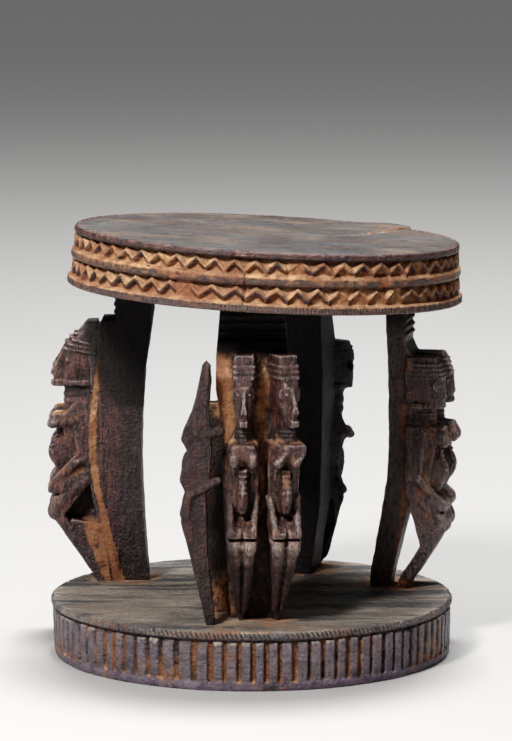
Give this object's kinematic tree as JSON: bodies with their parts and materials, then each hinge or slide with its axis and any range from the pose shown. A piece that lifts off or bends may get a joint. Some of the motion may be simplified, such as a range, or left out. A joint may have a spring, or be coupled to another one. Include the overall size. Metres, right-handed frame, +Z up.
{
  "type": "carved caryatid stool",
  "caption": "Round stool carved from one log: thick base and seat joined by four posts with standing figures.",
  "frame": {"origin": "centre of the underside, on the surface the stool stands on", "axes": "+Z up; +X to the right in the picture, where the seat is lowest; -Y towards the viewer"},
  "size_m": [0.3608, 0.3436, 0.367],
  "materials": {
    "wood": "satin"
  },
  "bodies": {
    "root": {"stool": "wood"}
  },
  "joints": []
}
